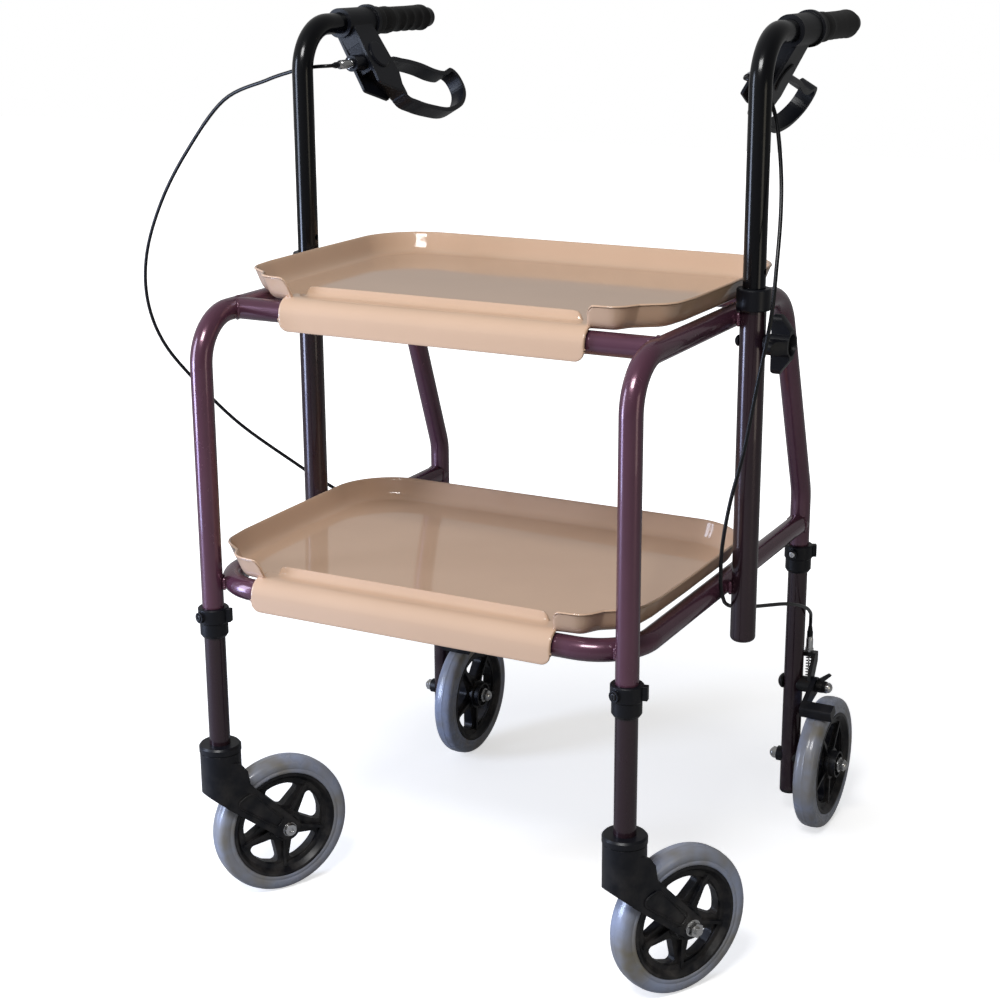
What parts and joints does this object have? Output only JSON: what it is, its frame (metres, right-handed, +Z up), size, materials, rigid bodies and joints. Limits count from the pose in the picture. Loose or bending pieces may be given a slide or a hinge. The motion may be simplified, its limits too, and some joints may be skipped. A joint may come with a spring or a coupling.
{
  "type": "indoor walker with trays",
  "caption": "Indoor walking frame of bent tube with sliding handles, loop brake levers, lift-off trays on two levels, swivelling front casters and braked rear wheels.",
  "frame": {"origin": "on the floor under the middle of the box around the part without its cables", "axes": "+Z up, -Y towards the front where the casters are, +X to the right as seen from the front"},
  "size_m": [0.8278, 0.5616, 0.906],
  "materials": {
    "frame_paint": "metallic gloss",
    "dark_paint": "gloss",
    "black_paint": "gloss",
    "grip_rubber": "soft satin",
    "tyre_grey": "satin",
    "bright_steel": "zinc plated",
    "tray_plastic": "gloss",
    "cable_sheath": "satin",
    "black_steel": "satin black",
    "black_plastic": "satin"
  },
  "bodies": {
    "frame": {"side_frame_left": "frame_paint", "side_frame_right": "frame_paint", "front_crossbar": "frame_paint", "rear_crossbar": "frame_paint", "lower_frame": "frame_paint", "upright_left": "dark_paint", "upright_right": "dark_paint", "upright_collar_left": "black_plastic", "upright_collar_right": "black_plastic", "clamp_rivet_left": "black_plastic", "clamp_rivet_right": "black_plastic", "front_leg_left": "dark_paint", "front_leg_right": "dark_paint", "rear_leg_left": "dark_paint", "rear_leg_right": "dark_paint", "front_leg_collar_left": "black_plastic", "front_leg_collar_right": "black_plastic", "rear_leg_collar_left": "black_plastic", "rear_leg_collar_right": "black_plastic", "rear_axle_left": "bright_steel", "rear_axle_right": "bright_steel", "rear_spacer_left": "black_plastic", "rear_spacer_right": "black_plastic", "brake_bracket_left": "black_steel", "brake_bracket_right": "black_steel", "brake_spring_left": "bright_steel", "brake_spring_right": "bright_steel", "brake_adjuster_left": "bright_steel", "brake_adjuster_right": "bright_steel", "brake_cable_left": "cable_sheath", "brake_cable_right": "cable_sheath"},
    "handle_left": {"handle_stem_left": "black_paint", "handle_grip_left": "grip_rubber", "brake_housing_left": "black_plastic", "lever_adjuster_left": "bright_steel"},
    "knob_left": {"clamp_knob_left": "black_plastic"},
    "lever_left": {"brake_lever_left": "black_plastic"},
    "caster_left": {"caster_fork_left": "black_plastic", "front_axle_left": "bright_steel"},
    "front_wheel_left": {"front_rim_left": "black_plastic", "front_tyre_left": "tyre_grey"},
    "rear_wheel_left": {"rear_rim_left": "black_plastic", "rear_tyre_left": "tyre_grey"},
    "brake_arm_left": {"brake_arm_left": "black_plastic"},
    "handle_right": {"handle_stem_right": "black_paint", "handle_grip_right": "grip_rubber", "brake_housing_right": "black_plastic", "lever_adjuster_right": "bright_steel"},
    "knob_right": {"clamp_knob_right": "black_plastic"},
    "lever_right": {"brake_lever_right": "black_plastic"},
    "caster_right": {"caster_fork_right": "black_plastic", "front_axle_right": "bright_steel"},
    "front_wheel_right": {"front_rim_right": "black_plastic", "front_tyre_right": "tyre_grey"},
    "rear_wheel_right": {"rear_rim_right": "black_plastic", "rear_tyre_right": "tyre_grey"},
    "brake_arm_right": {"brake_arm_right": "black_plastic"},
    "upper_tray": {"upper_tray": "tray_plastic"},
    "lower_tray": {"lower_tray": "tray_plastic"}
  },
  "joints": [
    {"name": "handle_height_left", "type": "slide", "parent": "frame", "child": "handle_left", "axis": [0, 0, 1], "range_m": [-0.065, 0.065], "deforming": ["brake_cable_left"]},
    {"name": "knob_turn_left", "type": "hinge", "parent": "frame", "child": "knob_left", "pos_m": [-0.28404, -0.0292, 0.602], "axis": [-1, 0, 0], "continuous": true},
    {"name": "lever_squeeze_left", "type": "hinge", "parent": "handle_left", "child": "lever_left", "pos_m": [-0.23154, 0.0688, 0.84903], "axis": [0.866, 0, 0.5], "range_deg": [0, 12], "stiffness_Nm_per_rad": 1.5, "springref_deg": -5.73},
    {"name": "caster_swivel_left", "type": "hinge", "parent": "frame", "child": "caster_left", "pos_m": [-0.23014, -0.2592, 0.17], "axis": [0, 0, 1], "continuous": true},
    {"name": "front_wheel_spin_left", "type": "hinge", "parent": "caster_left", "child": "front_wheel_left", "pos_m": [-0.19814, -0.20377, 0.075], "axis": [0.866, -0.5, 0], "continuous": true},
    {"name": "rear_wheel_spin_left", "type": "hinge", "parent": "frame", "child": "rear_wheel_left", "pos_m": [-0.19114, 0.2058, 0.075], "axis": [1, 0, 0], "continuous": true},
    {"name": "brake_apply_left", "type": "hinge", "parent": "frame", "child": "brake_arm_left", "pos_m": [-0.20514, 0.2058, 0.165], "axis": [1, 0, 0], "range_deg": [0, 2.3], "deforming": ["brake_spring_left"]},
    {"name": "handle_height_right", "type": "slide", "parent": "frame", "child": "handle_right", "axis": [0, 0, 1], "range_m": [-0.065, 0.065], "deforming": ["brake_cable_right"]},
    {"name": "knob_turn_right", "type": "hinge", "parent": "frame", "child": "knob_right", "pos_m": [0.27976, -0.0292, 0.602], "axis": [1, 0, 0], "continuous": true},
    {"name": "lever_squeeze_right", "type": "hinge", "parent": "handle_right", "child": "lever_right", "pos_m": [0.22726, 0.0688, 0.84903], "axis": [0.866, 0, -0.5], "range_deg": [0, 12], "stiffness_Nm_per_rad": 1.5, "springref_deg": -5.73},
    {"name": "caster_swivel_right", "type": "hinge", "parent": "frame", "child": "caster_right", "pos_m": [0.22586, -0.2592, 0.17], "axis": [0, 0, 1], "continuous": true},
    {"name": "front_wheel_spin_right", "type": "hinge", "parent": "caster_right", "child": "front_wheel_right", "pos_m": [0.25786, -0.20377, 0.075], "axis": [0.866, -0.5, 0], "continuous": true},
    {"name": "rear_wheel_spin_right", "type": "hinge", "parent": "frame", "child": "rear_wheel_right", "pos_m": [0.26486, 0.2058, 0.075], "axis": [1, 0, 0], "continuous": true},
    {"name": "brake_apply_right", "type": "hinge", "parent": "frame", "child": "brake_arm_right", "pos_m": [0.25086, 0.2058, 0.165], "axis": [1, 0, 0], "range_deg": [0, 2.3], "deforming": ["brake_spring_right"]},
    {"name": "upper_tray_lift", "type": "slide", "parent": "frame", "child": "upper_tray", "axis": [0, 0, 1], "range_m": [0, 0.045]},
    {"name": "lower_tray_lift", "type": "slide", "parent": "frame", "child": "lower_tray", "axis": [0, 0, 1], "range_m": [0, 0.045]}
  ],
  "couplings": [
    {"joint": "brake_apply_left", "follows": "lever_squeeze_left", "ratio": 0.19},
    {"joint": "brake_apply_right", "follows": "lever_squeeze_right", "ratio": 0.19}
  ]
}
